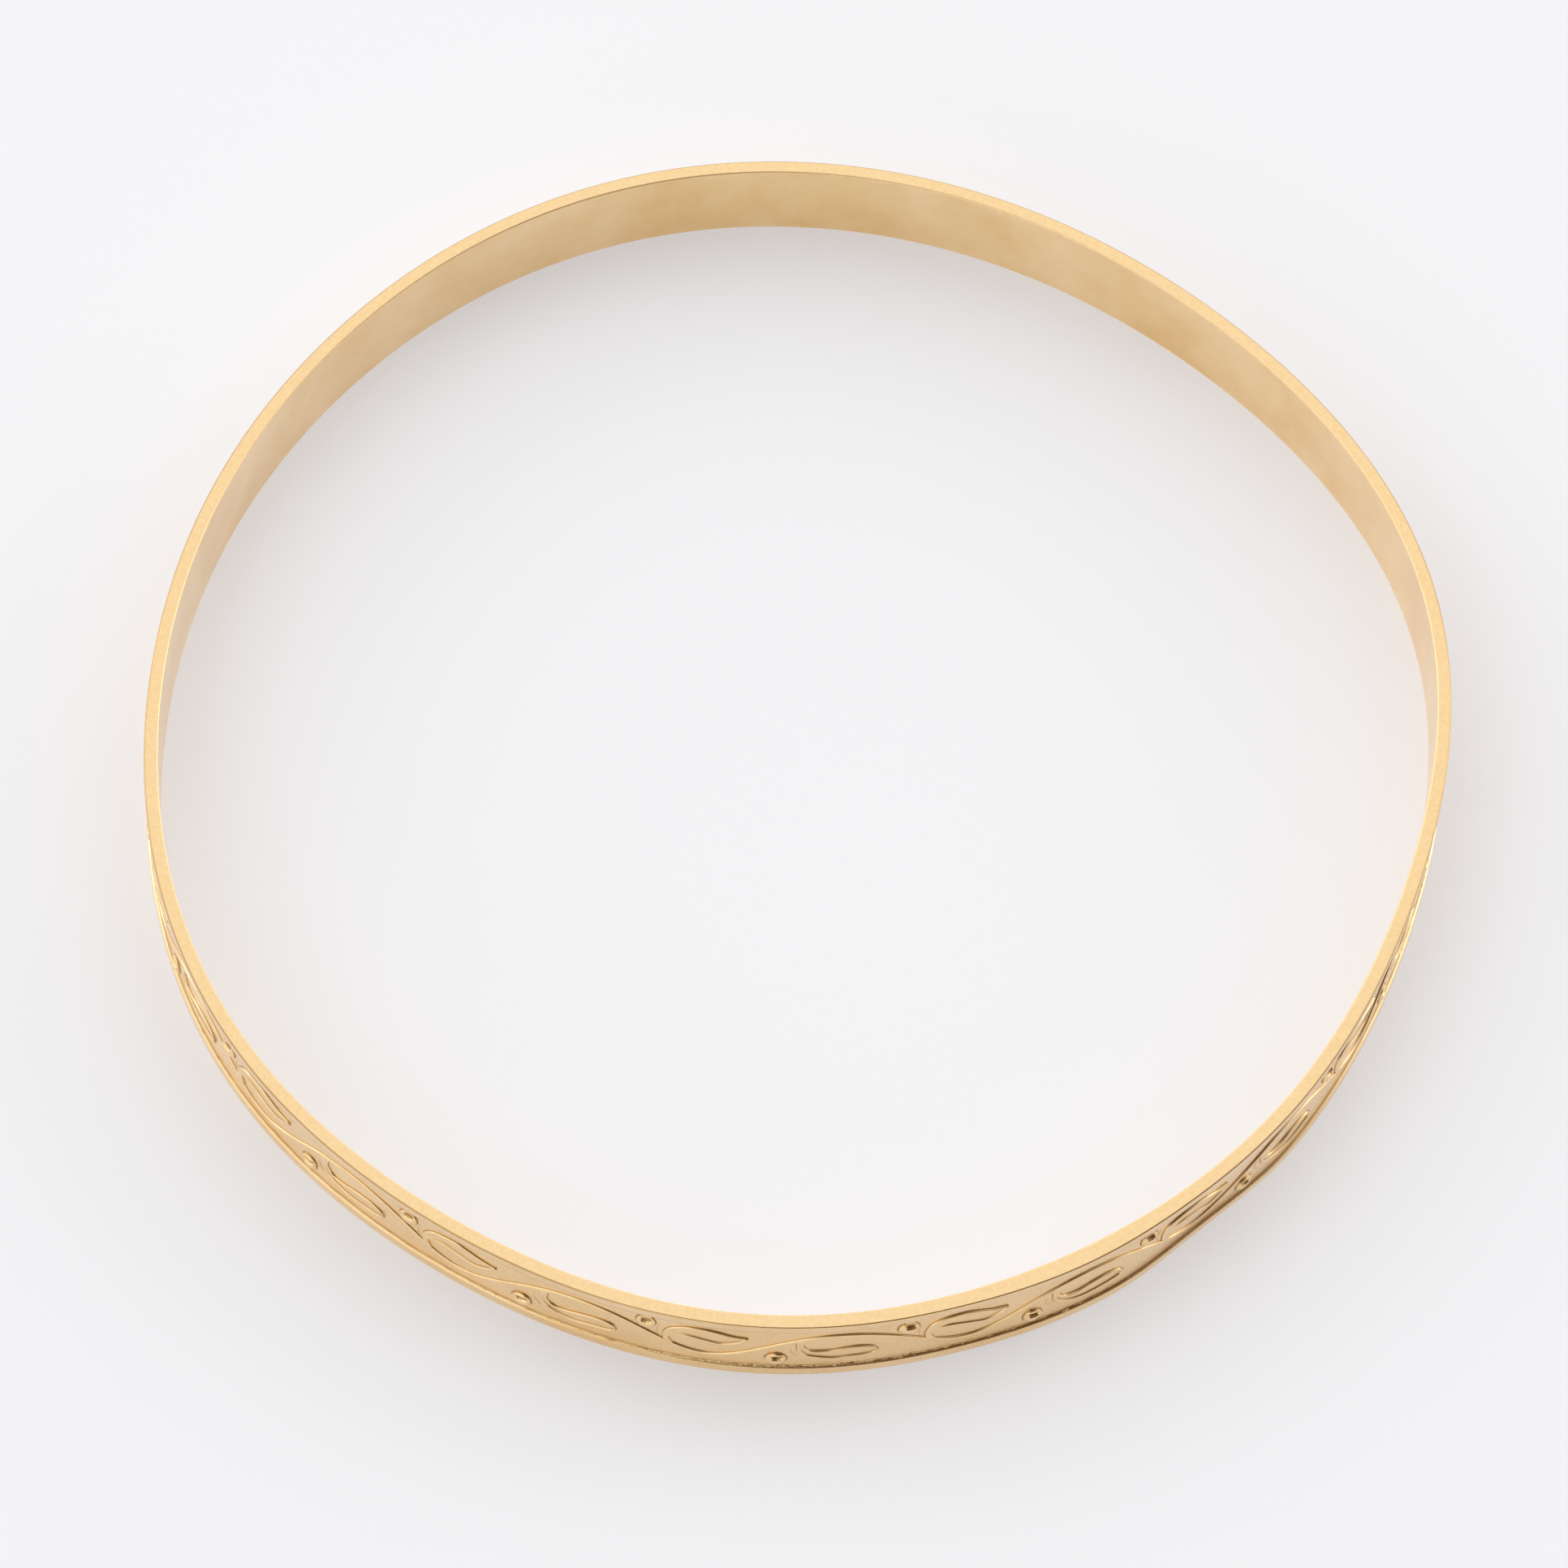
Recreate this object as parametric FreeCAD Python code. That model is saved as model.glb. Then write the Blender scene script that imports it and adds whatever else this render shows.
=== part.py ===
"""Rigid slip-on bangle bracelet in yellow gold.

A plain strip is closed into a ring. A border wire runs round it at each edge, and between
the two a wavy vine wire carries curled leaves and domed berries, alternately high and low.
Nothing on it moves.

Millimetres, +Z up. The bangle lies flat: the origin is the middle of the plane it rests on,
and -Y is its front.
"""

import FreeCAD, Part
import os
from bisect import bisect_right
from math import asin, cos, degrees, hypot, pi, radians, sin

Vector = FreeCAD.Vector

# The ring in plan. Its outer line is a circle that wear has pushed slightly out of round:
# each wave is (crests round the ring, height as a share of the radius, degrees to a crest).
# The origin is the middle of the outline's box, this far from the circle's own middle.
MEAN_RADIUS = 33.7
WAVES = (
    (2, 0.0130, 73), (3, 0.0056, 10), (4, 0.0086, 19),
    (5, 0.0018, 18), (6, 0.0030, 25), (7, 0.0020, 13),
)
OUTLINE_MIDDLE = Vector(0.2, -0.09, 0)
PLAN_POINTS = 96

# The wall, from the inside out.
BAND_HEIGHT = 5.4
STRIP_THICKNESS = 0.56
RIM_PROUD = 0.16
RIM_HEIGHT = 0.78
EDGE_BEVEL = 0.07

# The running ornament. A repeat holds an upper and a lower leaf, one pitch apart.
REPEATS = 16
FIRST_BERRY_ANGLE = -99.2
RELIEF_HEIGHT = 0.1
BASE = -RIM_PROUD
CREST = BASE + RELIEF_HEIGHT

# The vine wire: its middle line is a wave about a level, low under each upper leaf.
VINE_LEVEL = 2.83
VINE_SWING = 1.2
VINE_FLATTENING = 0.1
VINE_TROUGH = 2.9
VINE_WIDTH = 0.3
VINE_POINTS_PER_PITCH = 8

# A leaf of each row, as distances along the ring from its berry and heights. It grows from the
# vine between the two root distances. Its outer line runs from there round the curled base and
# over the back to the tip, and its inner line follows on the other side.
LEAF_ROOT = (0.75, 1.3)
LEAF_LINES = {
    "upper": (
        ((0.66, 2.8), (0.72, 3.3), (1.05, 3.8), (1.8, 4.12),
         (2.7, 4.2), (3.4, 4.05), (4.2, 3.8), (5.0, 3.66)),
        ((1.06, 2.5), (1.04, 2.88), (1.4, 3.1), (2.1, 3.1),
         (2.9, 2.9), (3.8, 2.72), (4.5, 3.0), (5.0, 3.5)),
    ),
    "lower": (
        ((0.8, 2.75), (0.85, 2.35), (1.15, 1.95), (1.8, 1.62),
         (2.6, 1.45), (3.4, 1.5), (4.2, 1.62), (4.85, 1.76)),
        ((1.2, 3.05), (1.25, 2.75), (1.6, 2.42), (2.3, 2.42),
         (3.1, 2.6), (3.9, 2.66), (4.55, 2.52), (4.96, 2.2)),
    ),
}

# The berries: domes beside the base of each leaf.
BERRY_SHIFT = -0.2
UPPER_BERRY_HEIGHT = 3.88
LOWER_BERRY_HEIGHT = 1.62
BERRY_RADIUS = 0.55
BERRY_DOME = 0.22


def radius(angle):
    """The outer line's distance from the axis, at an angle in radians."""
    waves = sum(share * cos(crests * (angle - radians(crest))) for crests, share, crest in WAVES)
    return MEAN_RADIUS * (1 + waves)


def slope(angle):
    """How fast that distance grows with the angle."""
    waves = 0
    for crests, share, crest in WAVES:
        waves -= crests * share * sin(crests * (angle - radians(crest)))
    return MEAN_RADIUS * waves


def tangent(angle):
    """The unit direction of the outer line, anticlockwise."""
    r, dr = radius(angle), slope(angle)
    step = Vector(dr * cos(angle) - r * sin(angle), dr * sin(angle) + r * cos(angle), 0)
    return step.normalize()


def place(angle, offset, height):
    """A point at an offset outwards from the outer line."""
    along = tangent(angle)
    r = radius(angle)
    x = r * cos(angle) + offset * along.y
    y = r * sin(angle) - offset * along.x
    return Vector(x, y, height) - OUTLINE_MIDDLE


def measure_line(offset, steps=3600):
    """Distances round the line at an offset, at even steps of angle from the first berry."""
    lengths = [0.0]
    last = place(radians(FIRST_BERRY_ANGLE), offset, 0)
    for i in range(1, steps + 1):
        point = place(radians(FIRST_BERRY_ANGLE) + 2 * pi * i / steps, offset, 0)
        lengths.append(lengths[-1] + point.distanceToPoint(last))
        last = point
    return lengths


LINE_LENGTHS = measure_line(-RIM_PROUD)
PITCH = LINE_LENGTHS[-1] / (2 * REPEATS)


def angle_at(distance):
    """The angle at a distance round the strip's face from the first berry."""
    turns, rest = divmod(distance, LINE_LENGTHS[-1])
    low = bisect_right(LINE_LENGTHS, rest) - 1
    share = (rest - LINE_LENGTHS[low]) / (LINE_LENGTHS[low + 1] - LINE_LENGTHS[low])
    return radians(FIRST_BERRY_ANGLE) + 2 * pi * (turns + (low + share) / (len(LINE_LENGTHS) - 1))


def closed_curve(points):
    """A smooth closed line through the points."""
    curve = Part.BSplineCurve()
    curve.interpolate(Points=points, PeriodicFlag=True)
    return curve


def ring_line(offset, height):
    """The closed line at an offset and a height."""
    angles = [2 * pi * i / PLAN_POINTS for i in range(PLAN_POINTS)]
    return closed_curve([place(angle, offset, height) for angle in angles])


def joined_solid(faces):
    """The solid that the faces close, the right way out."""
    shell = Part.makeShell(faces)
    shell.sewShape()
    solid = Part.makeSolid(Part.Shell(shell.Faces))
    if solid.Volume < 0:
        solid.reverse()
    return solid


def ruled_solid(lines, caps=()):
    """The solid between lines joined in turn by ruled faces, and closed by any end caps."""
    edges = [line.toShape() for line in lines]
    faces = [Part.makeRuledSurface(edges[i - 1], edges[i]) for i in range(len(edges))]
    faces += [Part.makeRuledSurface(Part.makeLine(a, b), Part.makeLine(d, c)) for a, b, c, d in caps]
    return joined_solid(faces)


def ring_solid(section):
    """A ring whose section has corners at (offset, height), with a flat face across each level side."""
    edges = [ring_line(offset, height).toShape() for offset, height in section]
    faces = []
    for i, (offset, height) in enumerate(section):
        last_offset, last_height = section[i - 1]
        if height == last_height:
            wires = [Part.Wire(edges[i]), Part.Wire(edges[i - 1])]
            if offset < last_offset:
                wires.reverse()
            faces.append(Part.makeFace(wires, "Part::FaceMakerBullseye"))
        else:
            faces.append(Part.makeRuledSurface(edges[i - 1], edges[i]))
    return joined_solid(faces)


def make_band_strip():
    """The plain strip, with its inner edges eased for the hand."""
    inner = -RIM_PROUD - STRIP_THICKNESS
    outer = -RIM_PROUD
    return ring_solid((
        (outer, 0), (outer, BAND_HEIGHT),
        (inner + EDGE_BEVEL, BAND_HEIGHT), (inner, BAND_HEIGHT - EDGE_BEVEL),
        (inner, EDGE_BEVEL), (inner + EDGE_BEVEL, 0),
    ))


def make_rim(bottom, top):
    """A border wire, flat against the strip and bevelled on its outer side."""
    return ring_solid((
        (-RIM_PROUD, bottom), (-EDGE_BEVEL, bottom), (0, bottom + EDGE_BEVEL),
        (0, top - EDGE_BEVEL), (-EDGE_BEVEL, top), (-RIM_PROUD, top),
    ))


def vine_height(distance):
    """The height of the vine's middle line."""
    phase = pi * (distance - VINE_TROUGH) / PITCH
    return VINE_LEVEL - VINE_SWING * cos(phase) - VINE_FLATTENING * cos(2 * phase)


def vine_slope(distance):
    """How steeply the vine climbs."""
    phase = pi * (distance - VINE_TROUGH) / PITCH
    return pi / PITCH * (VINE_SWING * sin(phase) + 2 * VINE_FLATTENING * sin(2 * phase))


def vine_edge(side, offset):
    """One edge of the vine wire: side is 1 above its middle line and -1 below."""
    count = 2 * REPEATS * VINE_POINTS_PER_PITCH
    points = []
    for i in range(count):
        distance = i * PITCH / VINE_POINTS_PER_PITCH
        climb = vine_slope(distance)
        across = side * VINE_WIDTH / 2 / hypot(1, climb)
        points.append(place(angle_at(distance - across * climb), offset, vine_height(distance) + across))
    return closed_curve(points)


def make_vine():
    """The wavy wire all the way round, laid on the strip."""
    corners = ((-1, BASE), (-1, CREST), (1, CREST), (1, BASE))
    return ruled_solid([vine_edge(side, offset) for side, offset in corners])


def vine_side(side, distance):
    """The height of the vine's upper (1) or lower (-1) edge at a distance."""
    return vine_height(distance) + side * VINE_WIDTH / 2 * hypot(1, vine_slope(distance))


def leaf_lines(row, start):
    """The leaf's outer and inner lines, from the near side of the vine to the tip."""
    side = 1 if row == "upper" else -1
    lines = []
    for root, line in zip(LEAF_ROOT, LEAF_LINES[row]):
        points = [(start + root, vine_side(side, start + root))]
        points += [(start + s, z) for s, z in line]
        lines.append(points)
    return lines


def make_leaf(row, start):
    """A curled leaf laid on the strip, its root against the vine that it grows from."""
    outer, inner = leaf_lines(row, start)
    rails = []
    for line, offset in ((outer, BASE), (outer, CREST), (inner, CREST), (inner, BASE)):
        rails.append([place(angle_at(s), offset, z) for s, z in line])
    curves = []
    for points in rails:
        curve = Part.BSplineCurve()
        curve.interpolate(Points=points)
        curves.append(curve)
    caps = [[points[end] for points in rails] for end in (0, -1)]
    return ruled_solid(curves, caps)


def make_berry(row, start):
    """A dome on the strip: the top of a ball."""
    height = UPPER_BERRY_HEIGHT if row == "upper" else LOWER_BERRY_HEIGHT
    angle = angle_at(start + BERRY_SHIFT)
    along = tangent(angle)
    ball_radius = (BERRY_RADIUS ** 2 + BERRY_DOME ** 2) / (2 * BERRY_DOME)
    centre = place(angle, BASE + BERRY_DOME - ball_radius, height)
    lowest = degrees(asin(1 - BERRY_DOME / ball_radius))
    return Part.makeSphere(ball_radius, centre, Vector(along.y, -along.x, 0), lowest, 90, 360)


def make_parts():
    """Every piece by its name."""
    parts = {
        "band_strip": make_band_strip(),
        "lower_rim": make_rim(0, RIM_HEIGHT),
        "upper_rim": make_rim(BAND_HEIGHT - RIM_HEIGHT, BAND_HEIGHT),
        "vine": make_vine(),
    }
    for row, shift in (("upper", 0), ("lower", PITCH)):
        starts = [2 * PITCH * i + shift for i in range(REPEATS)]
        for i, start in enumerate(starts):
            parts[f"{row}_leaf_{i + 1:02d}"] = make_leaf(row, start)
        parts[f"{row}_berries"] = Part.makeCompound([make_berry(row, start) for start in starts])
    return parts


os.makedirs("parts", exist_ok=True)
for name, shape in make_parts().items():
    shape.exportStep(f"parts/{name}.step")
    state = "valid" if shape.isValid() else "INVALID"
    print(name, len(shape.Solids), "solid(s)", round(shape.Volume, 3), "mm3", state)
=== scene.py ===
"""The looks of a rigid gold bangle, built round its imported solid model. Metres, +Z up.

The outside of the band is laid out flat as distance along the ring and height, both in millimetres,
and wrapped on to the ring's own outline. Every piece is drawn in those terms, as the solids are.
"""

from math import cos, pi, radians, sin

import bmesh
import bpy
import numpy as np
from mathutils import Matrix, Vector


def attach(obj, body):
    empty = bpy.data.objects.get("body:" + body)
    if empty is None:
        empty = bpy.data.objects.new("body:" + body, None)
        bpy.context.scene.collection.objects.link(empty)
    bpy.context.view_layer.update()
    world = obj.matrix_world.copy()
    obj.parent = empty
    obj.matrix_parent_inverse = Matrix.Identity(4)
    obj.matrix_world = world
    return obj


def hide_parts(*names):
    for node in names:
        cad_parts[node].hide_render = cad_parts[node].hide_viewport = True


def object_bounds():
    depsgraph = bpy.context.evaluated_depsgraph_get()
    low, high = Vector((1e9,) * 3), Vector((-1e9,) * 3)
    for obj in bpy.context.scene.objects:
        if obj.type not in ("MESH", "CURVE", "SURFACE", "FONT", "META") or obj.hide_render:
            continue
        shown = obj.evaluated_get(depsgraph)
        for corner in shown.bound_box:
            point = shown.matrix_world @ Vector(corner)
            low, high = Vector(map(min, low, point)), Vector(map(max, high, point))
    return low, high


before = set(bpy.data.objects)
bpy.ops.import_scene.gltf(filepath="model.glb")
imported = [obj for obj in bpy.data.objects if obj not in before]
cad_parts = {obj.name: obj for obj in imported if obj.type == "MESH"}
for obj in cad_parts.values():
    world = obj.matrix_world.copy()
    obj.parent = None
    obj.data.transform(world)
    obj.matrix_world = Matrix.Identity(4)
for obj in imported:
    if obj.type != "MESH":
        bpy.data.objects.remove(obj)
cad_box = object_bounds()

MM = 0.001

# ---------------------------------------------------------------------------------------------
# The ring, as the solid model has it
# ---------------------------------------------------------------------------------------------

MEAN_RADIUS = 33.7
WAVES = (
    (2, 0.0130, 73), (3, 0.0056, 10), (4, 0.0086, 19),
    (5, 0.0018, 18), (6, 0.0030, 25), (7, 0.0020, 13),
)
OUTLINE_MIDDLE = (0.2, -0.09)
BAND_HEIGHT = 5.4
STRIP_THICKNESS = 0.56
RIM_PROUD = 0.16
BASE = -RIM_PROUD
INSIDE = BASE - STRIP_THICKNESS

REPEATS = 16
FIRST_BERRY_ANGLE = -99.2
RELIEF_HEIGHT = 0.1

# Where wear has moved the wall: degrees round the ring, the reach either side, and millimetres.
SWOLLEN = (-62, 14, 0.16)
PRESSED_IN = (-48, 11, 0.28)
PRESSED_UP_TO = 4.5


def radius(angle):
    """The outer line's distance from the axis, at an angle in radians."""
    waves = sum(share * np.cos(k * (angle - radians(crest))) for k, share, crest in WAVES)
    return MEAN_RADIUS * (1 + waves)


def slope(angle):
    """How fast that distance grows with the angle."""
    waves = sum(-k * share * np.sin(k * (angle - radians(crest))) for k, share, crest in WAVES)
    return MEAN_RADIUS * waves


def smooth_step(value, low, high):
    """Nought below low, one above high, and a smooth rise between."""
    share = np.clip((value - low) / (high - low), 0, 1)
    return share * share * (3 - 2 * share)


def between(value, start, full, fading, end):
    """A smooth rise from start to full, then a smooth fall from fading to end."""
    return smooth_step(value, start, full) * (1 - smooth_step(value, fading, end))


def bump(angle, centre, reach):
    """One at an angle in degrees, easing to nought at a reach either side of it."""
    away = (angle - radians(centre) + pi) % (2 * pi) - pi
    return np.cos(pi / 2 * np.clip(away / radians(reach), -1, 1)) ** 2


def wear(angle, offset, height):
    """How far wear has moved the wall: swollen on the front's right, and pressed in beyond."""
    centre, reach, most = SWOLLEN
    swelling = most * bump(angle, centre, reach) * smooth_step(offset, INSIDE, BASE)
    centre, reach, most = PRESSED_IN
    near_foot = 1 - smooth_step(height, 0, PRESSED_UP_TO)
    return swelling - most * bump(angle, centre, reach) * near_foot


CAD_LOW, CAD_HIGH = (np.array(corner)[:2] for corner in cad_box)


def place(angle, offset, height):
    """Points in metres at offsets outwards from the outer line and heights, all in millimetres.

    What is raised or worn outwards stops at the sides of the solid model's box.
    """
    angle, offset, height = np.broadcast_arrays(angle, offset, height)
    offset = offset + wear(angle, offset, height)
    r, dr = radius(angle), slope(angle)
    dx = dr * np.cos(angle) - r * np.sin(angle)
    dy = dr * np.sin(angle) + r * np.cos(angle)
    length = np.hypot(dx, dy)
    x = r * np.cos(angle) + offset * dy / length - OUTLINE_MIDDLE[0]
    y = r * np.sin(angle) - offset * dx / length - OUTLINE_MIDDLE[1]
    points = np.stack([x, y, height], -1) * MM
    points[..., :2] = np.clip(points[..., :2], CAD_LOW, CAD_HIGH)
    return points


def measure_line(steps=7200):
    """Angles and distances along the strip's face from the first berry."""
    angles = radians(FIRST_BERRY_ANGLE) + 2 * pi * np.arange(steps + 1) / steps
    points = place(angles, BASE, 0)[:, :2] / MM
    lengths = np.concatenate([[0], np.cumsum(np.hypot(*np.diff(points, axis=0).T))])
    return angles, lengths


LINE_ANGLES, LINE_LENGTHS = measure_line()
PERIMETER = LINE_LENGTHS[-1]
PITCH = PERIMETER / (2 * REPEATS)


def angle_at(distance):
    """The angle at a distance along the strip's face from the first berry."""
    turns = np.floor_divide(distance, PERIMETER)
    return np.interp(distance - turns * PERIMETER, LINE_LENGTHS, LINE_ANGLES) + 2 * pi * turns


def wrap(distance, height, lift):
    """Points on the band: distance along it, height, and how far they stand off its face."""
    return place(angle_at(distance), BASE + lift, height)


# ---------------------------------------------------------------------------------------------
# Mesh helpers
# ---------------------------------------------------------------------------------------------

def add_mesh(name, points, faces, dirt_and_shade=None):
    """A smooth mesh object; the last argument says how dark each point is: dirt and painted shade.
    """
    mesh = bpy.data.meshes.new(name)
    mesh.from_pydata([tuple(p) for p in points], [], faces)
    # Per-point darkness, partly dirt and partly painted shade in creases and corners.
    if dirt_and_shade is not None:
        values = mesh.attributes.new("dirt_and_shade", "FLOAT", "POINT").data
        values.foreach_set("value", np.ravel(dirt_and_shade).astype(np.float32))
    mesh.validate()
    is_closed = len(faces) > 1
    if is_closed:
        face_outwards(mesh)
    mesh.polygons.foreach_set("use_smooth", [True] * len(mesh.polygons))
    piece = bpy.data.objects.new(name, mesh)
    bpy.context.collection.objects.link(piece)
    return piece


def face_outwards(mesh):
    """Turn the faces of a closed mesh to the outside."""
    shell = bmesh.new()
    shell.from_mesh(mesh)
    bmesh.ops.recalc_face_normals(shell, faces=shell.faces)
    shell.to_mesh(mesh)
    shell.free()


def grid_faces(rows, columns, close_rows=False, close_columns=False, start=0):
    """Quads over a grid of points stored row by row."""
    faces = []
    for i in range(rows if close_rows else rows - 1):
        for j in range(columns if close_columns else columns - 1):
            here, ahead = start + i * columns, start + (i + 1) % rows * columns
            beside = (j + 1) % columns
            faces.append((here + j, here + beside, ahead + beside, ahead + j))
    return faces


def smooth_line(points, count):
    """Evenly spread points on a smooth line through the given ones (a Catmull-Rom curve)."""
    p = np.array(points, float)
    p = np.vstack([2 * p[0] - p[1], p, 2 * p[-1] - p[-2]])
    t = np.linspace(0, 1, 24, endpoint=False)[:, None]
    dense = []
    for a, b, c, d in zip(p, p[1:], p[2:], p[3:]):
        square, cube = 2 * a - 5 * b + 4 * c - d, 3 * b - a - 3 * c + d
        dense.append(0.5 * (2 * b + (c - a) * t + square * t ** 2 + cube * t ** 3))
    dense = np.vstack([*dense, p[-2:-1]])
    run = np.concatenate([[0], np.cumsum(np.hypot(*np.diff(dense, axis=0).T))])
    even = np.linspace(0, run[-1], count)
    return np.stack([np.interp(even, run, dense[:, k]) for k in (0, 1)], -1)


def smooth_noise(positions, period, scale, seed):
    """A gentle wander that closes on itself over a period."""
    draw = np.random.default_rng(seed)
    total = np.zeros_like(positions)
    for k in range(1, 10):
        size = draw.normal() / k ** 0.5
        total += size * np.sin(2 * pi * k * 3 * positions / period + draw.uniform(0, 2 * pi))
    return scale * total


# ---------------------------------------------------------------------------------------------
# The strip and its two rims
# ---------------------------------------------------------------------------------------------

RING_STEPS = 1440
INNER_CORNER = 0.1
OUTER_CORNER = 0.08
CREST_RADIUS = 0.045
SHARPEST_SMOOTH = 32
FRONT_SWELL = 0.05
FRONT_SWELL_HEIGHTS = (4.6, 5.3)

# Points of a rim's section further in than this are hidden inside the strip.
HIDDEN = BASE - 0.01

# The lower rim's shelf: places as degrees and the reach either side, then heights between which
# the marks or the painted darkness come and go, then how far marks reach outwards and upwards.
# The darkness is partly dirt on the shelf, partly painted shade where the shelf meets the strip.
CHATTERED = (-83, 20)
LESS_MARKED = (-42, 30)
WORN_DOWN = (-46, 24)
WORN_BY = 0.1
MORE_SHADE_AND_STAIN = (-50, 28)
SHELF_MARKS = (0.69, 0.74, 0.95, 1.1)
SHELF_SHADE_AND_STAIN = (0.7, 0.76, 0.84, 0.95)
STREAK_REACH = (0.005, 0.008)
CHATTER_REACH = (0.006, 0.01)

# The waves that break the shelf's darkening up: waves round the ring, turn from row to row,
# strength.
SHADE_AND_STAIN_WAVES = ((31, 1.9, 0.35), (83, 4.1, 0.3))

# The same for the upper rim: where it is less darkened, then heights for the darkening at the
# foot, the edge and the corner. At the corner it is painted shade; at the foot and the edge it is
# partly dirt, partly painted shade.
LESS_DARKENED = (-80, 34)
FOOT_SHADE_AND_STAIN = (4.35, 4.39, 4.62, 4.7)
EDGE_SHADE_AND_STAIN = (4.66, 4.7, 4.76, 4.8)
CORNER_SHADE_AND_STAIN = (5.31, 5.34)


def arc(centre, size, first, last, count):
    """Section points on an arc, angles in degrees from outwards towards up."""
    return [(centre[0] + size * cos(radians(a)), centre[1] + size * sin(radians(a)))
            for a in np.linspace(first, last, count)]


def add_ring(name, section, steps=RING_STEPS, shape=None, shade_and_stain=None):
    """A closed section of (offset, height) points carried round the ring; shape may move them."""
    angles = np.linspace(0, 2 * pi, steps, endpoint=False)[:, None]
    offsets, heights = (np.tile(column, (steps, 1)) for column in np.array(section).T)
    # The darkening function paints points dark: partly dirt, partly painted shade.
    dirt_and_shade = shade_and_stain(angles, offsets, heights) if shade_and_stain else None
    if shape:
        offsets, heights = shape(angles, offsets, heights)
    points = place(angles, offsets, heights).reshape(-1, 3)
    piece = add_mesh(name, points, grid_faces(steps, len(section), True, True), dirt_and_shade)
    piece.data.set_sharp_from_angle(angle=radians(SHARPEST_SMOOTH))
    return piece


def swell_upper_rim(angles, offsets, heights):
    """The upper rim's edge stands a little proud along the front."""
    swell = FRONT_SWELL * np.clip(-np.sin(angles), 0, 1)
    swell = swell * smooth_step(heights, *FRONT_SWELL_HEIGHTS) * (offsets > BASE + 0.001)
    return offsets + swell, heights


def chatter_lower_rim(angles, offsets, heights):
    """The graver has left long streaks along the lower rim's shelf, and has chattered on the front.

    To the right of the front the shelf is cleaner, and worn down a little.
    """
    on_shelf = between(heights, *SHELF_MARKS) * (offsets > HIDDEN)
    draw = np.random.default_rng(11)
    steps, rows = offsets.shape
    waves = np.arange(40, 260)
    streaks = np.zeros((steps, rows))
    for row in range(rows):
        weights = draw.normal(size=waves.size) / waves.size ** 0.5
        phases = draw.uniform(0, 2 * pi, waves.size)
        streaks[:, row] = np.cos(angles * waves + phases) @ weights
    marks = draw.normal(size=(steps, rows))
    scattered = smooth_step(np.sin(7 * angles + 2), 0.2, 0.9)
    patches = 0.15 + 0.85 * bump(angles, *CHATTERED) + 0.25 * scattered
    on_shelf = on_shelf * (1 - 0.9 * bump(angles, *LESS_MARKED))
    above_foot = smooth_step(heights, 0.2, 0.6)
    worn = WORN_BY * bump(angles, *WORN_DOWN) * above_foot
    heights = heights - worn * (offsets > HIDDEN)
    outwards = STREAK_REACH[0] * streaks + CHATTER_REACH[0] * marks * patches
    upwards = STREAK_REACH[1] * streaks[:, ::-1] + CHATTER_REACH[1] * marks * patches
    return offsets + outwards * on_shelf, heights + upwards * on_shelf


def shade_and_stain_lower_rim(angles, offsets, heights):
    """Darker along the shelf, in long uneven streaks: partly dirt, partly painted shade."""
    shelf = between(heights, *SHELF_SHADE_AND_STAIN) * (offsets > HIDDEN)
    row = np.arange(offsets.shape[1])[None, :]
    streak = 0.5
    for waves, turn, strength in SHADE_AND_STAIN_WAVES:
        streak = streak + strength * np.sin(waves * angles + turn * row)
    return shelf * np.clip(streak + 1.2 * bump(angles, *MORE_SHADE_AND_STAIN), 0, 1)


def shade_and_stain_upper_rim(angles, offsets, heights):
    """Darker along the rim's corners and its foot, except at the middle of the front: painted
    shade, partly dirt at the foot.
    """
    corner = smooth_step(heights, *CORNER_SHADE_AND_STAIN) * (offsets > -0.07)
    foot = between(heights, *FOOT_SHADE_AND_STAIN) * (offsets > HIDDEN)
    edge = between(heights, *EDGE_SHADE_AND_STAIN) * (offsets > -0.08)
    remaining = 1 - 0.85 * bump(angles, *LESS_DARKENED)
    return (0.7 * corner + foot + 0.8 * edge).clip(0, 1) * remaining


def strip_section():
    """The strip: a flat face, flat edges, and inner corners eased for the hand."""
    corner, top = INNER_CORNER, BAND_HEIGHT
    section = [(BASE, height) for height in (0.01, 0.4, 1.2, 2.7, 4.2, 5.0, top - 0.01, top)]
    section += [(BASE - 0.01, top), (INSIDE + corner + 0.01, top)]
    section += arc((INSIDE + corner, top - corner), corner, 90, 180, 7)
    section += [(INSIDE, height) for height in (top - corner - 0.01, 3.7, 2.7, 1.7, corner + 0.01)]
    section += arc((INSIDE + corner, corner), corner, 180, 270, 7)
    section += [(INSIDE + corner + 0.01, 0.0), (BASE - 0.01, 0.0), (BASE, 0.0)]
    return section


def rim_section():
    """The lower rim: a flat foot, a face, a rounded crest, then a shelf and a cove to the strip."""
    corner, crest = OUTER_CORNER, CREST_RADIUS
    section = [(BASE, 0.0), (-corner - 0.01, 0.0)]
    section += arc((-corner, corner), corner, -90, 0, 8)
    section += [(0.0, corner + 0.02), (0.0, 0.3), (0.0, 0.6)]
    section += arc((-crest, 0.645), crest, 0, 50, 6)
    section += [(-0.04, 0.692), (-0.06, 0.705), (-0.08, 0.72), (-0.1, 0.737), (-0.117, 0.756)]
    section += [(-0.13, 0.78), (-0.14, 0.81), (-0.147, 0.85), (-0.153, 0.9), (-0.158, 1.01)]
    section += [(-0.164, 1.05), (BASE - 0.02, 1.05), (BASE - 0.02, 0.5), (BASE - 0.02, 0.02)]
    section += [(BASE, 0.01)]
    return section


def replace_node(piece, node):
    """Hide the piece of the solid model that this one draws, and hang this one from the root."""
    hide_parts(node)
    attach(piece, "root")
    return piece


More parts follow.
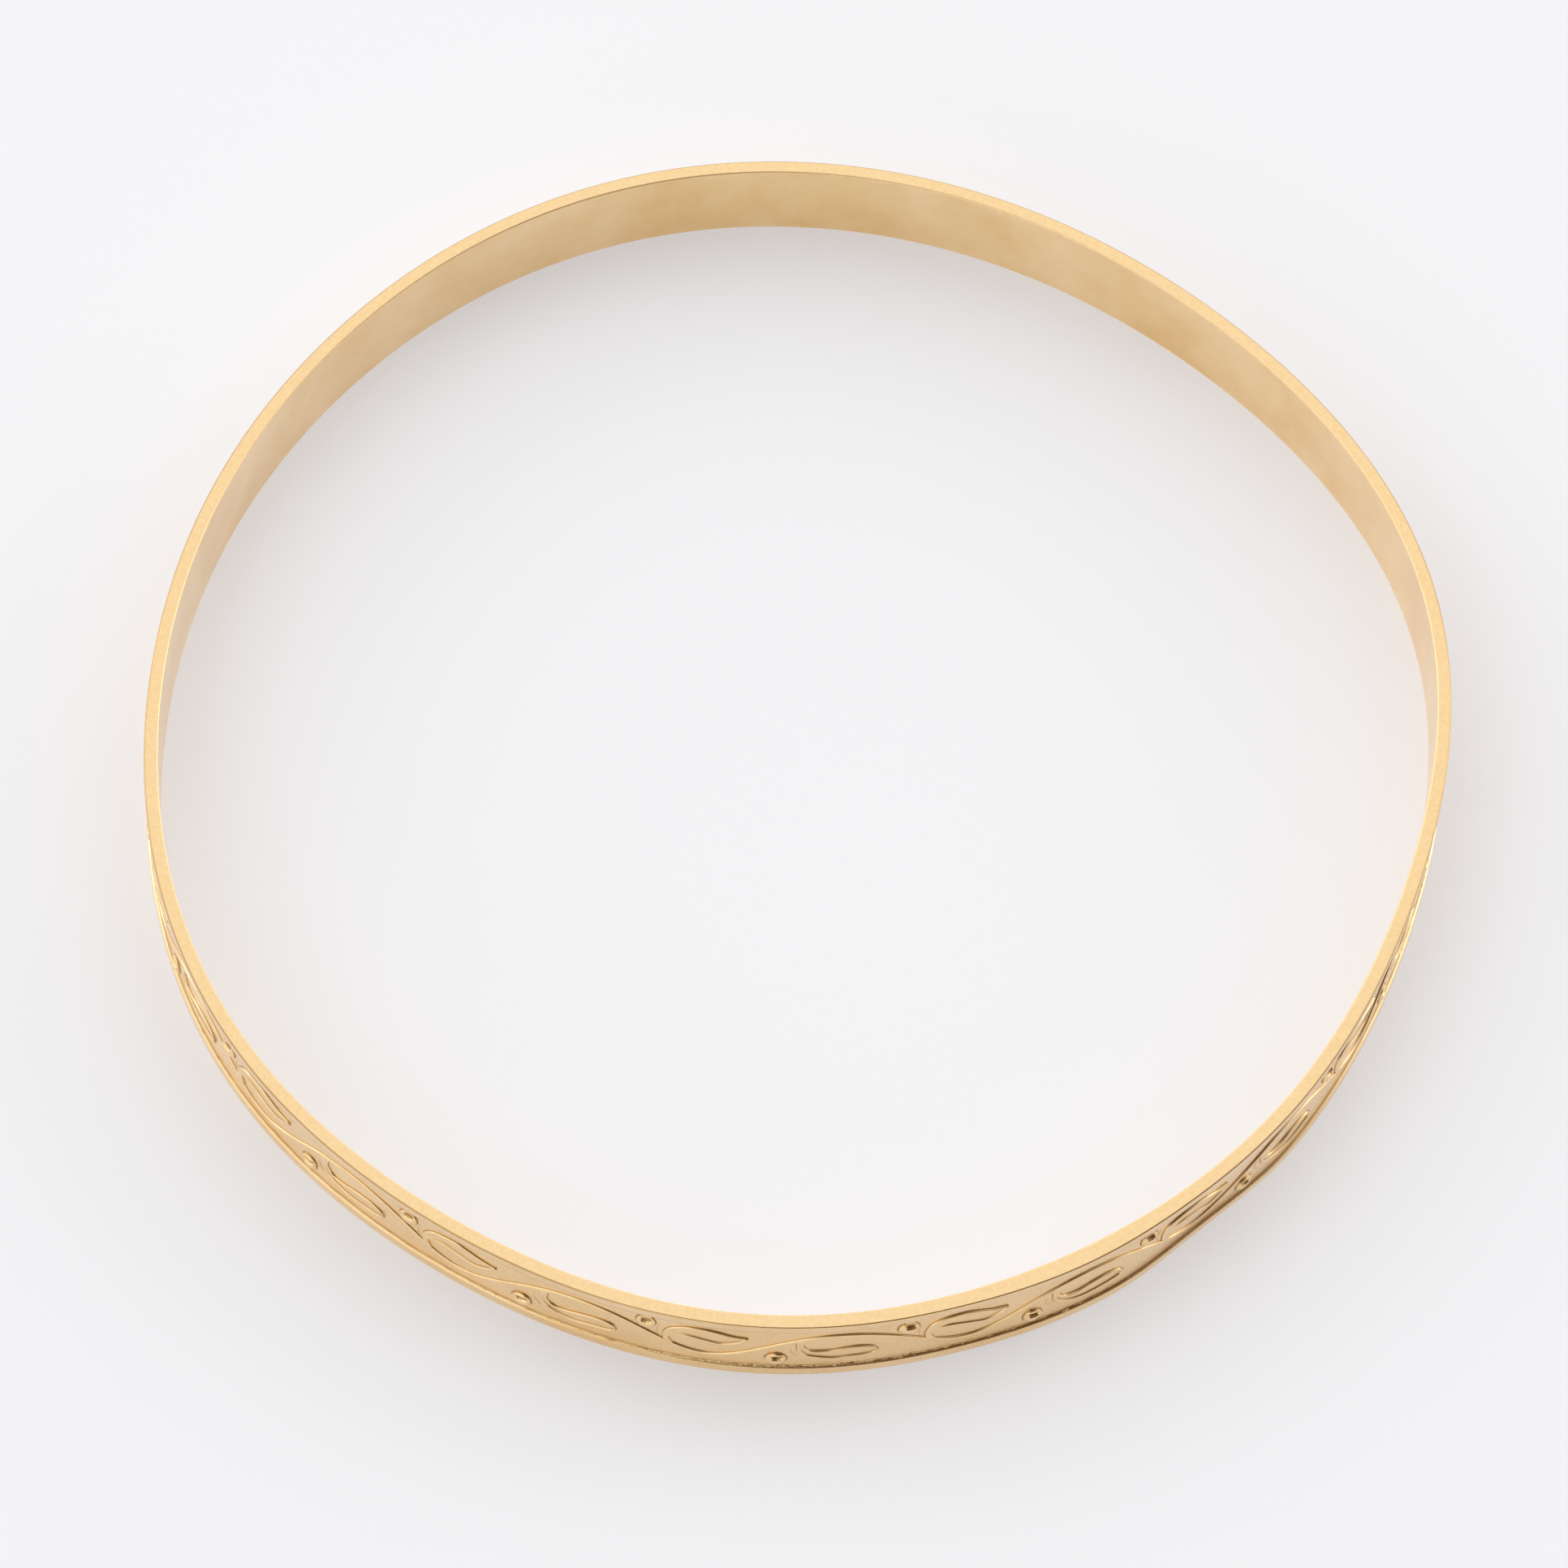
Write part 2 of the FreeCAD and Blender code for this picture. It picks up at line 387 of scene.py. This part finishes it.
def build_band():
    """The strip and its rims; the upper rim is the lower one's section turned over."""
    upright = rim_section()
    turned_over = [(offset, BAND_HEIGHT - height) for offset, height in reversed(upright)]
    strip = add_ring("gold_strip", strip_section())
    lower = add_ring("border_lower", upright, 2 * RING_STEPS, chatter_lower_rim, shade_and_stain_lower_rim)
    upper = add_ring("border_upper", turned_over, RING_STEPS, swell_upper_rim, shade_and_stain_upper_rim)
    replace_node(strip, "band_strip")
    replace_node(lower, "lower_rim")
    replace_node(upper, "upper_rim")
    return strip, lower, upper


# ---------------------------------------------------------------------------------------------
# The vine, the leaves and the berries
# ---------------------------------------------------------------------------------------------

rng = np.random.default_rng(7)

# How the raised pieces sit on the strip, in millimetres. Their edges stand a little off its face.
# A skirt beyond each edge, painted dark (partly dirt settled there, partly painted shade at the
# foot of the relief), runs down just under the face, and their undersides lie deeper still.
EDGE_LIFT = 0.004
SKIRT = 0.065
SINK = 0.02
SKIRT_SINK = SINK / 5
# The width of the painted dark band at a leaf's hollow and tip: dirt and painted shade.
SHADE_AND_STAIN_WIDTH = 0.04

VINE_LEVEL = 2.83
VINE_SWING = 1.2
VINE_FLATTENING = 0.1
VINE_TROUGH = 2.9
VINE_WIDTH = 0.3
VINE_UNEVENNESS = 0.03
VINE_STEPS_PER_PITCH = 56
VINE_ACROSS = 19


def vine_height(distance):
    """The height of the vine's middle line."""
    phase = pi * (distance - VINE_TROUGH) / PITCH
    return VINE_LEVEL - VINE_SWING * np.cos(phase) - VINE_FLATTENING * np.cos(2 * phase)


def vine_slope(distance):
    """How steeply the vine climbs."""
    phase = pi * (distance - VINE_TROUGH) / PITCH
    return pi / PITCH * (VINE_SWING * np.sin(phase) + 2 * VINE_FLATTENING * np.sin(2 * phase))


def build_vine():
    """A round-backed wire all the way round."""
    count = 2 * REPEATS * VINE_STEPS_PER_PITCH
    distance = np.arange(count)[:, None] * PERIMETER / count
    climb = vine_slope(distance)
    half = VINE_WIDTH / 2 * (1 + smooth_noise(distance, PERIMETER, VINE_UNEVENNESS, 3))
    turn = np.linspace(0, pi, VINE_ACROSS)[None, :]
    across = np.concatenate([half + SKIRT, half * np.cos(turn), -half - SKIRT], axis=1)
    across = across / np.hypot(1, climb)
    back = RELIEF_HEIGHT * (1 - np.abs(np.cos(turn)) ** 3) ** 0.6
    ends = np.full((1, 1), -SKIRT_SINK)
    lift = np.concatenate([ends, np.maximum(back, EDGE_LIFT), ends], axis=1)
    top = wrap(distance - across * climb, vine_height(distance) + across, lift)
    sides = across[:, [-1, 0]]
    foot = wrap(distance - sides * climb, vine_height(distance) + sides, -SINK)
    points = np.concatenate([top, foot], axis=1)
    # The wire's foot is painted dark: partly dirt, partly painted shade.
    dirt_and_shade = np.zeros(points.shape[:2])
    last = VINE_ACROSS + 1
    dirt_and_shade[:, [0, last]], dirt_and_shade[:, [1, last - 1]], dirt_and_shade[:, [2, last - 2]] = 0.5, 1, 0.6
    faces = grid_faces(count, points.shape[1], True, True)
    piece = add_mesh("vine_wire", points.reshape(-1, 3), faces, dirt_and_shade)
    return replace_node(piece, "vine")


# A leaf of each row, as distances along the ring from its berry and heights. It grows from the
# vine between the two root distances. Its outer line runs from there round the curled base and
# over the back to the tip, and its inner line follows on the other side.
LEAF_ROOT = (0.75, 1.3)
LEAF_LINES = {
    "upper": (
        ((0.66, 2.8), (0.72, 3.3), (1.05, 3.8), (1.8, 4.12),
         (2.7, 4.2), (3.4, 4.05), (4.2, 3.8), (5.0, 3.66)),
        ((1.06, 2.5), (1.04, 2.88), (1.4, 3.1), (2.1, 3.1),
         (2.9, 2.9), (3.8, 2.72), (4.5, 3.0), (5.0, 3.5)),
    ),
    "lower": (
        ((0.8, 2.75), (0.85, 2.35), (1.15, 1.95), (1.8, 1.62),
         (2.6, 1.45), (3.4, 1.5), (4.2, 1.62), (4.85, 1.76)),
        ((1.2, 3.05), (1.25, 2.75), (1.6, 2.42), (2.3, 2.42),
         (3.1, 2.6), (3.9, 2.66), (4.55, 2.52), (4.96, 2.2)),
    ),
}
LEAF_UNEVENNESS = 0.018
LEAF_STEPS = 96
LEAF_ACROSS = 48

# The lip round a leaf's edge, how round its tip is, the hollow inside the lip, and the shares of
# the leaf's length between which the hollow opens.
LIP_FLANK = 0.11
LIP_WIDTH = 0.15
TIP_ROUNDING = 0.45
HOLLOW_FLANK = 0.1
HOLLOW_DEPTH = 0.85
# How dark the hollow's inner edge is painted: partly dirt, partly painted shade in the recess.
HOLLOW_SHADE_AND_STAIN = 0.8
HOLLOW_OPENS = {"upper": (0.2, 0.4), "lower": (0.05, 0.3)}

# The thin raised line round a leaf's base, and the painted darkness across it from side to side,
# dark at its feet: partly dirt, partly painted shade.
SHEATHS = {
    "upper": ((0.66, 4.08), (0.42, 3.5), (0.38, 2.95), (0.62, 2.45)),
    "lower": ((0.72, 3.05), (0.5, 2.6), (0.58, 2.1), (0.95, 1.7)),
}
SHEATH_WIDTH = 0.1
SHEATH_HEIGHT = 0.045
SHEATH_STEPS = 40
SHEATH_SHADE_AND_STAIN = (0.8, 0.8, 0, 0, 0, 0, 0, 0.8, 0.8)


def row_start(row, index):
    """The distance from the first berry to a repeat's start in its row."""
    return 2 * PITCH * index + (0 if row == "upper" else PITCH)


def leaf_lines(row, start):
    """The leaf's outer and inner lines from the vine to the tip, a little different each time."""
    side = 1 if row == "upper" else -1
    lines = []
    for root, line in zip(LEAF_ROOT, LEAF_LINES[row]):
        root_height = vine_height(start + root) + side * VINE_WIDTH * 0.1
        points = np.array([(root, root_height), *line])
        points[1:] += rng.normal(0, LEAF_UNEVENNESS, (len(line), 2))
        lines.append(smooth_line(points, LEAF_STEPS))
    return lines


def leaf_lift(inwards, width, opening):
    """How high the leaf stands at a distance in from its edge: a lip round a hollow blade."""
    crest = np.minimum(width / 2, LIP_FLANK)
    rise = (1 - (1 - np.clip(inwards / crest, 0, 1)) ** 3) ** 0.6
    fall = smooth_step(inwards, LIP_WIDTH, LIP_WIDTH + HOLLOW_FLANK)
    return RELIEF_HEIGHT * rise * (1 - HOLLOW_DEPTH * fall * opening)


def sheath(line, first):
    """A thin half-round ridge along a line, dying away at both ends; first numbers its points."""
    across_count = len(SHEATH_SHADE_AND_STAIN)
    ahead = np.gradient(line, axis=0)
    ahead /= np.hypot(*ahead.T)[:, None]
    turn = np.linspace(0, pi, across_count)[None, :]
    taper = 0.15 + 0.85 * np.sin(np.linspace(0, pi, len(line)))[:, None].clip(0) ** 0.5
    across = SHEATH_WIDTH / 2 * np.cos(turn) * (0.4 + 0.6 * taper)
    lift = (SHEATH_HEIGHT + SINK) * np.sin(turn) * taper - SINK
    points = wrap(line[:, :1] - ahead[:, 1:] * across, line[:, 1:] + ahead[:, :1] * across, lift)
    faces = grid_faces(len(line), across_count, False, True, first)
    last = first + across_count * (len(line) - 1)
    faces.append(tuple(range(first, first + across_count)))
    faces.append(tuple(range(last, last + across_count))[::-1])
    return points.reshape(-1, 3), faces, np.tile(SHEATH_SHADE_AND_STAIN, len(line))


def build_leaf(row, index):
    """A curled leaf with the thin line round its base."""
    start = row_start(row, index)
    outer, inner = leaf_lines(row, start)
    share = (1 - np.cos(np.linspace(0, pi, LEAF_ACROSS)))[None, :] / 2
    width = np.hypot(*(outer - inner).T)[:, None]
    length = np.hypot(*np.diff(outer, axis=0).T).sum()
    along = np.linspace(0, 1, LEAF_STEPS)[:, None]
    from_tip = (1 - along) * length - TIP_ROUNDING * width * (2 * share - 1) ** 2
    inwards = np.minimum(np.minimum(share, 1 - share) * width, from_tip)
    opening = smooth_step(along, *HOLLOW_OPENS[row])

    # The lip's edges, the hollow's edge and the tip are painted dark: partly dirt, partly painted
    # shade.
    hollow_edge = (inwards - LIP_WIDTH - HOLLOW_FLANK) / SHADE_AND_STAIN_WIDTH
    dirt_and_shade = HOLLOW_SHADE_AND_STAIN * opening * np.exp(-hollow_edge ** 2)
    dirt_and_shade[:, [0, -1]], dirt_and_shade[:, [1, -2]], dirt_and_shade[:, [2, -3]] = 1, 1, 0.5
    dirt_and_shade = np.maximum(dirt_and_shade * (from_tip > 0), np.exp(-(from_tip / SHADE_AND_STAIN_WIDTH) ** 2))
    column = np.ones((LEAF_STEPS, 1))
    dirt_and_shade = np.concatenate([0.5 * column, dirt_and_shade, 0.5 * column, 0 * column, 0 * column], axis=1)

    lift = np.maximum(leaf_lift(inwards, width, opening), EDGE_LIFT)
    lift = np.concatenate([-SKIRT_SINK * column, lift, -SKIRT_SINK * column], axis=1)
    share = np.concatenate([-SKIRT / width, share * column, 1 + SKIRT / width], axis=1)[..., None]
    flat = outer[:, None, :] * (1 - share) + inner[:, None, :] * share
    top = wrap(start + flat[..., 0], flat[..., 1], lift)
    sides = flat[:, [-1, 0]]
    foot = wrap(start + sides[..., 0], sides[..., 1], -SINK)
    points = np.concatenate([top, foot], axis=1)

    columns = points.shape[1]
    count = LEAF_STEPS * columns
    faces = grid_faces(LEAF_STEPS, columns, False, True)
    faces.append(tuple(range(columns)))
    faces.append(tuple(range(count - columns, count))[::-1])
    sheath_line = smooth_line([(start + s, z) for s, z in SHEATHS[row]], SHEATH_STEPS)
    sheath_points, sheath_faces, sheath_shade_and_stain = sheath(sheath_line, count)
    points = np.concatenate([points.reshape(-1, 3), sheath_points])
    dirt_and_shade = np.concatenate([dirt_and_shade.ravel(), sheath_shade_and_stain])
    node = f"{row}_leaf_{index + 1:02d}"
    piece = add_mesh(f"curled_{node}", points, faces + sheath_faces, dirt_and_shade)
    return replace_node(piece, node)


BERRY_SHIFT = -0.2
BERRY_HEIGHTS = {"upper": 3.88, "lower": 1.62}
BERRY_RADIUS = 0.55
BERRY_DOME = 0.22
BERRY_TALLER = 1.06
BERRY_SKIRT = 0.04
BERRY_RINGS = 30
BERRY_SECTORS = 72
BERRY_UNEVENNESS = 0.03

# The notch cut into a berry, measured from the berry's middle: the height of its foot, how much
# height it takes to reach its depth, how much its foot climbs to the sides, how far it lies to
# one side, and its half width. Its depth is a share of the dome. The last two are the heights
# between which a lower berry's notch, and the painted darkness in any notch, come to an end. That
# darkness is partly dirt, partly painted shade in the recess.
NOTCH_FOOT = {"upper": 0.0, "lower": -0.06}
NOTCH_FLANK = 0.22
NOTCH_FLARE = 0.12
NOTCH_SHIFT = 0.04
NOTCH_HALF_WIDTH = 0.29
NOTCH_DEPTH = 0.95
LOWER_NOTCH_TOP = (0.26, 0.42)
NOTCH_SHADE_AND_STAIN_TOP = (0.2, 0.34)


def build_berries(row):
    """The domes of one row, each with a notch at its top."""
    out = np.append(np.linspace(0, 1, BERRY_RINGS)[1:-1], 1 + BERRY_SKIRT / BERRY_RADIUS)[:, None]
    turn = np.linspace(0, 2 * pi, BERRY_SECTORS, endpoint=False)[None, :]
    dome = BERRY_DOME * np.clip(1 - out ** 3, 0, 1) ** 0.6 * np.ones_like(turn)
    foot = NOTCH_FOOT[row]
    points, faces, dirt_and_shade = [], [], []
    for index in range(REPEATS):
        stretch = 1 + rng.normal(0, BERRY_UNEVENNESS)
        s = BERRY_RADIUS * out * np.cos(turn) * stretch
        z = BERRY_RADIUS * BERRY_TALLER * out * np.sin(turn) / stretch
        aside = s - NOTCH_SHIFT - rng.normal(0, BERRY_UNEVENNESS)
        notch = smooth_step(z - NOTCH_FLARE * np.abs(aside), foot, foot + NOTCH_FLANK)
        notch = notch * np.exp(-(aside / NOTCH_HALF_WIDTH) ** 6)
        if row == "lower":
            notch = notch * (1 - smooth_step(z, *LOWER_NOTCH_TOP))
        lift = np.maximum(dome * (1 - NOTCH_DEPTH * notch), -SINK)
        lift[-1] = -SKIRT_SINK
        # The notch and the berry's edge are painted dark: partly dirt, partly painted shade.
        dark = 0.9 * smooth_step(notch, 0.35, 0.8) * (1 - smooth_step(z, *NOTCH_SHADE_AND_STAIN_TOP))
        dark[-2:] = ((0.9,), (0.3,))
        middle = row_start(row, index) + BERRY_SHIFT + rng.normal(0, BERRY_UNEVENNESS)
        top = len(points)
        points.append(wrap(np.array(middle), np.array(BERRY_HEIGHTS[row]), lift[0].mean()))
        points.extend(wrap(middle + s, BERRY_HEIGHTS[row] + z, lift).reshape(-1, 3))
        dirt_and_shade.extend([dark[0].mean(), *dark.ravel()])
        first, last = top + 1, len(points) - BERRY_SECTORS
        for j in range(BERRY_SECTORS):
            faces.append((top, first + j, first + (j + 1) % BERRY_SECTORS))
        rings = grid_faces(BERRY_RINGS - 1, BERRY_SECTORS, False, True, first)
        faces += [face[::-1] for face in rings]
        faces.append(tuple(range(last, last + BERRY_SECTORS))[::-1])
    piece = add_mesh(f"{row}_berry_domes", points, faces, np.array(dirt_and_shade))
    return replace_node(piece, f"{row}_berries")


# ---------------------------------------------------------------------------------------------
# Materials
# ---------------------------------------------------------------------------------------------

# The dark brown painted where the meshes say: partly dirt, partly painted shade in creases and
# corners.
SHADE_AND_STAIN_COLOUR = (0.34, 0.175, 0.045, 1)
NOISE_ROUGHNESS = 0.65
MOTTLE_RANGE = (0.36, 0.64)
COAT_WEIGHT = 0.8
COAT_ROUGHNESS = 0.3

# How upright a face's normal is on the ring's flat edges, and at least on its corners, and how
# far from those edges a slanting face belongs to a rim's rounded inner side.
LEVEL = 0.99
SLANTING = 0.1
COVE_MARGIN = 0.2


def new_material(name):
    """A material with its node tree and its shader."""
    material = bpy.data.materials.new(name)
    material.use_nodes = True
    tree = material.node_tree
    return material, tree, tree.nodes["Principled BSDF"]


def link(tree, source, target):
    """Join an output to an input."""
    tree.links.new(source, target)


def add_node(tree, kind, **inputs):
    """A node with its inputs set; an underscore stands for a space in an input's name."""
    node = tree.nodes.new(kind)
    for key, value in inputs.items():
        node.inputs[key.replace("_", " ")].default_value = value
    return node


def noise(tree, where, scale, detail):
    """The strength of a noise texture at a place."""
    node = add_node(tree, "ShaderNodeTexNoise", Scale=scale, Detail=detail)
    node.inputs["Roughness"].default_value = NOISE_ROUGHNESS
    link(tree, where, node.inputs["Vector"])
    return node.outputs["Fac"]


def colour_mix(tree, share):
    """A node that mixes two colours by a share."""
    mix = tree.nodes.new("ShaderNodeMix")
    mix.data_type = "RGBA"
    link(tree, share, mix.inputs["Factor"])
    return mix


def gold(name, colour, tint, mottle_scale, roughness, spread, grain_scale, grain_depth):
    """Gold with a fine grain, a mottled tint, and dark brown where the mesh says: dirt and painted
    shade.
    """
    material, tree, shader = new_material(name)
    shader.inputs["Metallic"].default_value = 1.0
    shader.inputs["Coat Weight"].default_value = COAT_WEIGHT
    shader.inputs["Coat Roughness"].default_value = COAT_ROUGHNESS
    where = tree.nodes.new("ShaderNodeTexCoord").outputs["Object"]

    low, high = MOTTLE_RANGE
    contrast = add_node(tree, "ShaderNodeMapRange", From_Min=low, From_Max=high)
    link(tree, noise(tree, where, mottle_scale, 5.0), contrast.inputs["Value"])
    mottled = colour_mix(tree, contrast.outputs["Result"])
    mottled.inputs["A"].default_value = (*colour, 1)
    mottled.inputs["B"].default_value = (*tint, 1)

    # Painted darkness from the mesh: partly dirt, partly painted shade.
    dirt_and_shade = tree.nodes.new("ShaderNodeAttribute")
    dirt_and_shade.attribute_name = "dirt_and_shade"
    shaded_and_stained = colour_mix(tree, dirt_and_shade.outputs["Fac"])
    link(tree, mottled.outputs["Result"], shaded_and_stained.inputs["A"])
    shaded_and_stained.inputs["B"].default_value = SHADE_AND_STAIN_COLOUR
    link(tree, shaded_and_stained.outputs["Result"], shader.inputs["Base Color"])

    grain = noise(tree, where, grain_scale, 4.0)
    low, high = roughness - spread, roughness + spread
    rough = add_node(tree, "ShaderNodeMapRange", To_Min=low, To_Max=high)
    link(tree, grain, rough.inputs["Value"])
    link(tree, rough.outputs["Result"], shader.inputs["Roughness"])
    relief = add_node(tree, "ShaderNodeBump", Strength=1.0, Distance=grain_depth * MM)
    link(tree, grain, relief.inputs["Height"])
    link(tree, relief.outputs["Normal"], shader.inputs["Normal"])
    return material


def is_cove(centre):
    """Whether a height in metres lies on a rim's rounded inner side."""
    return COVE_MARGIN < centre.z / MM < BAND_HEIGHT - COVE_MARGIN


def dress_band(piece, satin, polished, corner, back):
    """Satin walls, polished edges above and below, and between them the corners.

    The faces that look in at the hand have a finish of their own, its colour shifted to stand in
    for how light falls inside the ring (painted light).
    """
    mesh = piece.data
    for material in (satin, polished, corner, back):
        mesh.materials.append(material)
    for face in mesh.polygons:
        rise = abs(face.normal.z)
        faces_in = face.normal.x * face.center.x + face.normal.y * face.center.y < 0
        if rise > LEVEL:
            face.material_index = 1
        elif rise > SLANTING and not is_cove(face.center):
            face.material_index = 2
        elif faces_in:
            face.material_index = 3
        else:
            face.material_index = 0


# ---------------------------------------------------------------------------------------------
# Floor, lights and camera
# ---------------------------------------------------------------------------------------------

FLOOR_REACH = 3.0
FLOOR_COLOUR = (0.575, 0.575, 0.58, 1)
FLOOR_GLOW = (0.94, 0.945, 1.0, 1)
FLOOR_GLOW_STRENGTH = 0.373

SOFTBOX_ELEVATION = 20
SOFTBOX_DISTANCE = 1.0
SOFTBOX_SIZE = 0.35

# The studio's light: how bright it is level with the bangle, and by how much that changes
# towards the rear and overhead.
SKY_LEVEL = 1.23
SKY_REAR = 0.1
SKY_UP = -0.15

# The camera and whoever stands behind it: direction as azimuth and elevation, then how far the
# dark reaches at full strength and where it ends, in degrees.
DARK_PATCHES = ((-78, 60, 12, 29), (-62, 26, 16, 38), (-36, 26, 16, 38))
DARK_COLOUR = (0.10, 0.056, 0.022, 1)

CAMERA_ELEVATION = radians(60.9)
CAMERA_DISTANCE = 0.484
CAMERA_ROLL = radians(3.4)
CAMERA_AIM = Vector((-0.00058, -0.00051, 0))
CAMERA_LENS = 215.1
CAMERA_SENSOR = 36
CAMERA_CLIP = 0.01


def direction(azimuth, elevation):
    """The unit vector towards an azimuth and an elevation in degrees."""
    a, e = radians(azimuth), radians(elevation)
    return Vector((cos(a) * cos(e), sin(a) * cos(e), sin(e)))


def build_floor():
    """The white paper that the bangle lies on."""
    reach = FLOOR_REACH
    corners = [(-reach, -reach, 0), (reach, -reach, 0), (reach, reach, 0), (-reach, reach, 0)]
    floor = add_mesh("floor", corners, [(0, 1, 2, 3)])
    material, tree, shader = new_material("floor_paper")
    shader.inputs["Base Color"].default_value = FLOOR_COLOUR
    shader.inputs["Emission Color"].default_value = FLOOR_GLOW
    shader.inputs["Emission Strength"].default_value = FLOOR_GLOW_STRENGTH
    shader.inputs["Roughness"].default_value = 0.6
    shader.inputs["Specular IOR Level"].default_value = 0.2
    floor.data.materials.append(material)


def softbox(name, azimuth, brightness):
    """A square light aimed at the bangle, its surface so many times as bright as white."""
    lamp = bpy.data.lights.new(name, "AREA")
    lamp.shape = "RECTANGLE"
    lamp.size = lamp.size_y = SOFTBOX_SIZE
    lamp.energy = brightness * pi * SOFTBOX_SIZE * SOFTBOX_SIZE
    item = bpy.data.objects.new(name, lamp)
    item.location = SOFTBOX_DISTANCE * direction(azimuth, SOFTBOX_ELEVATION)
    item.rotation_euler = (-item.location).to_track_quat("-Z", "Y").to_euler()
    bpy.context.collection.objects.link(item)


def aligned(tree, way, toward):
    """How far a way and a direction agree: the output of a dot product."""
    product = tree.nodes.new("ShaderNodeVectorMath")
    product.operation = "DOT_PRODUCT"
    product.inputs[1].default_value = toward
    link(tree, way, product.inputs[0])
    return product.outputs["Value"]


def build_sky():
    """A white studio with a dark brown gap on the camera's side."""
    world = bpy.data.worlds.new("studio")
    world.use_nodes = True
    tree = world.node_tree
    way = tree.nodes.new("ShaderNodeTexCoord").outputs["Generated"]
    level = tree.nodes.new("ShaderNodeMath")
    level.operation = "ADD"
    level.inputs[1].default_value = SKY_LEVEL
    link(tree, aligned(tree, way, (0, SKY_REAR, SKY_UP)), level.inputs[0])
    clear = None
    for azimuth, elevation, inside, outside in DARK_PATCHES:
        end, full = cos(radians(outside)), cos(radians(inside))
        edge = add_node(tree, "ShaderNodeMapRange", From_Min=end, From_Max=full, To_Min=1, To_Max=0)
        edge.interpolation_type = "SMOOTHSTEP"
        link(tree, aligned(tree, way, direction(azimuth, elevation)), edge.inputs["Value"])
        if clear is None:
            clear = edge.outputs["Result"]
            continue
        product = tree.nodes.new("ShaderNodeMath")
        product.operation = "MULTIPLY"
        link(tree, clear, product.inputs[0])
        link(tree, edge.outputs["Result"], product.inputs[1])
        clear = product.outputs["Value"]
    tone = colour_mix(tree, clear)
    tone.inputs["A"].default_value = DARK_COLOUR
    tone.inputs["B"].default_value = (1.0, 1.0, 1.0, 1)
    sky = tree.nodes["Background"]
    link(tree, tone.outputs["Result"], sky.inputs["Color"])
    link(tree, level.outputs["Value"], sky.inputs["Strength"])
    bpy.context.scene.world = world


def build_camera():
    """The camera, above the front and turned a little about its own axis."""
    camera = bpy.data.cameras.new("camera")
    camera.sensor_width = CAMERA_SENSOR
    camera.lens = CAMERA_LENS
    camera.clip_start = CAMERA_CLIP
    item = bpy.data.objects.new("camera", camera)
    bpy.context.collection.objects.link(item)
    back = Vector((0, -cos(CAMERA_ELEVATION), sin(CAMERA_ELEVATION)))
    right, up = Vector((1, 0, 0)), Vector((0, sin(CAMERA_ELEVATION), cos(CAMERA_ELEVATION)))
    rolled_right = cos(CAMERA_ROLL) * right + sin(CAMERA_ROLL) * up
    rolled_up = cos(CAMERA_ROLL) * up - sin(CAMERA_ROLL) * right
    turn = Matrix((rolled_right, rolled_up, back)).transposed()
    item.matrix_world = Matrix.Translation(CAMERA_AIM + CAMERA_DISTANCE * back) @ turn.to_4x4()
    bpy.context.scene.camera = item


build_camera()
strip, lower_rim, upper_rim = build_band()
ornaments = [build_vine()]
for row_name in ("upper", "lower"):
    ornaments += [build_leaf(row_name, i) for i in range(REPEATS)]
    ornaments.append(build_berries(row_name))
build_floor()
build_sky()
softbox("softbox_left", 150, 2.5)
softbox("softbox_right", 30, 3.1)

satin_gold = gold(
    "satin_gold", colour=(0.915, 0.612, 0.262), tint=(1.0, 0.72, 0.37), mottle_scale=130.0,
    roughness=0.28, spread=0.05, grain_scale=9000.0, grain_depth=0.004,
)
polished_gold = gold(
    "polished_gold", colour=(0.81, 0.565, 0.27), tint=(0.87, 0.62, 0.32), mottle_scale=4500.0,
    roughness=0.26, spread=0.05, grain_scale=7000.0, grain_depth=0.002,
)
burnished_gold = gold(
    "burnished_gold", colour=(0.93, 0.66, 0.34), tint=(0.99, 0.72, 0.40), mottle_scale=3000.0,
    roughness=0.48, spread=0.03, grain_scale=7000.0, grain_depth=0.001,
)
relief_gold = gold(
    "relief_gold", colour=(0.925, 0.637, 0.29), tint=(0.99, 0.707, 0.36), mottle_scale=1500.0,
    roughness=0.31, spread=0.05, grain_scale=9000.0, grain_depth=0.003,
)
# The inner wall's gold: a finish of its own, its colour shifted for how the inside is lit (painted
# light).
inner_painted_light_gold = gold(
    "inner_painted_light_gold", colour=(0.895, 0.595, 0.24), tint=(1.0, 0.745, 0.405), mottle_scale=130.0,
    roughness=0.29, spread=0.03, grain_scale=6000.0, grain_depth=0.0015,
)
dress_band(strip, satin_gold, polished_gold, burnished_gold, inner_painted_light_gold)
for piece in (lower_rim, upper_rim):
    dress_band(piece, satin_gold, polished_gold, satin_gold, satin_gold)
for piece in ornaments:
    piece.data.materials.append(relief_gold)

bpy.context.view_layer.update()

bpy.context.scene.view_settings.view_transform = "Standard"
